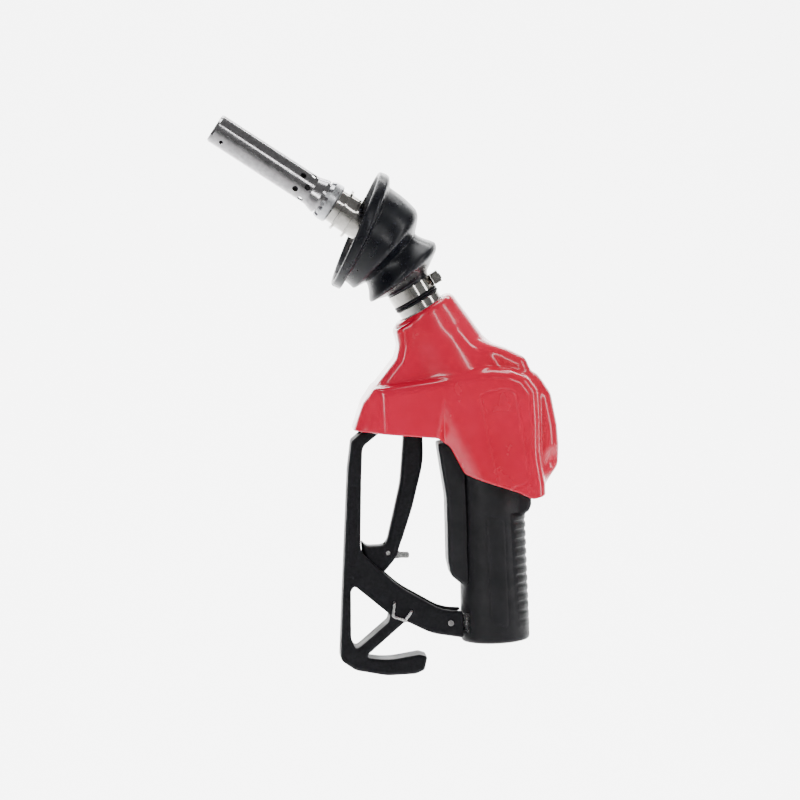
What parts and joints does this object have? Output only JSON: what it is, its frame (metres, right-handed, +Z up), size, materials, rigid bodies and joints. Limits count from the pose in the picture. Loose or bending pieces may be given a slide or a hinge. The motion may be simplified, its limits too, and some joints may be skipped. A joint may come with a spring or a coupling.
{
  "type": "fuel nozzle",
  "caption": "Automatic fuel nozzle with bent spout, bellows guard, vinyl cover, guarded squeeze lever, hanging hook and threaded hose inlet.",
  "frame": {"origin": "centre of the hose inlet's mouth at the lower end of the grip", "axes": "+Z up the handle, +X away from the spout, +Y to the nozzle's far side"},
  "size_m": [0.2293, 0.084, 0.3849],
  "materials": {
    "spout_steel": "polished stainless steel",
    "zinc": "matt cast zinc",
    "nickel": "bright nickel plate",
    "boot_rubber": "glossy moulded rubber",
    "cover_vinyl": "glossy red dipped vinyl",
    "grip_rubber": "fine matt moulded rubber",
    "guard_black": "satin black powder coat with fine grain",
    "lever_black": "satin black",
    "casting": "as-cast aluminium",
    "brass": "machined brass",
    "spring_steel": "drawn spring wire",
    "plated_steel": "zinc-plated steel",
    "seal_rubber": "black nitrile rubber",
    "machined": "machined aluminium"
  },
  "bodies": {
    "housing": {"body_casting": "casting", "boot_bellows": "boot_rubber", "boot_cuff": "boot_rubber", "boot_spring": "spring_steel", "check_seat": "brass", "check_spring": "spring_steel", "clamp_band": "nickel", "clamp_housing": "nickel", "clamp_screw": "nickel", "diaphragm": "seal_rubber", "finger_rest": "grip_rubber", "fuel_tube": "machined", "grip_sleeve": "grip_rubber", "guard_bracket": "plated_steel", "guard_pin": "plated_steel", "guard_screws": "plated_steel", "guard_spool": "nickel", "guide_screws": "plated_steel", "hold_open_staple": "plated_steel", "hose_adapter": "machined", "inlet_seal": "seal_rubber", "latch_pin": "brass", "latch_spring": "spring_steel", "lever_guard": "guard_black", "main_spring": "spring_steel", "neck_orings": "seal_rubber", "nose_ring": "machined", "packing_nut": "brass", "plunger_guide": "brass", "poppet_cap": "machined", "scuff_cover": "cover_vinyl", "spout_bush": "nickel", "spout_collar": "zinc", "spout_spacer": "nickel", "spout_tube": "spout_steel", "spout_washer": "nickel", "stem_packing": "seal_rubber", "vapor_plug": "brass", "vapor_spring": "spring_steel", "vapor_tube": "machined", "vent_tube": "machined"},
    "plunger": {"latch_plunger": "plated_steel", "latch_balls": "spring_steel", "lever_pin": "plated_steel", "pin_rings": "spring_steel"},
    "lever": {"lever": "lever_black", "clip_pin": "plated_steel", "clip_spring": "spring_steel"},
    "clip": {"hold_open_clip": "plated_steel"},
    "valve_stem": {"main_stem": "plated_steel", "main_poppet": "brass", "poppet_seal": "seal_rubber", "vapor_disc": "brass"},
    "boot_front": {"boot_mouth": "boot_rubber"},
    "check": {"check_valve": "brass"}
  },
  "joints": [
    {"name": "plunger_slide", "type": "slide", "parent": "housing", "child": "plunger", "axis": [-1, 0, 0], "range_m": [0, 0.005], "stiffness_N_per_m": 600, "springref_m": -0.004},
    {"name": "lever_hinge", "type": "hinge", "parent": "plunger", "child": "lever", "pos_m": [-0.052, 0, 0.168], "axis": [0, -1, 0], "range_deg": [0, 13], "stiffness_Nm_per_rad": 0.8, "springref_deg": -20.05},
    {"name": "clip_hinge", "type": "hinge", "parent": "lever", "child": "clip", "pos_m": [-0.0715, 0, 0.0645], "axis": [0, 1, 0], "range_deg": [0, 25], "stiffness_Nm_per_rad": 0.01, "springref_deg": -22.92},
    {"name": "valve_slide", "type": "slide", "parent": "housing", "child": "valve_stem", "axis": [1, 0, 0], "range_m": [0, 0.0046], "stiffness_N_per_m": 500, "springref_m": -0.006, "deforming": ["main_spring", "vapor_spring"]},
    {"name": "boot_slide", "type": "slide", "parent": "housing", "child": "boot_front", "axis": [0.809, 0, -0.5878], "range_m": [0, 0.015], "stiffness_N_per_m": 250, "springref_m": -0.006, "deforming": ["boot_bellows", "boot_spring"]},
    {"name": "check_slide", "type": "slide", "parent": "housing", "child": "check", "axis": [-0.4756, 0, 0.8796], "range_m": [0, 0.005], "stiffness_N_per_m": 120, "springref_m": -0.005, "deforming": ["check_spring"]}
  ],
  "couplings": [
    {"joint": "valve_slide", "follows": "lever_hinge", "m_per_rad": 0.0195}
  ]
}
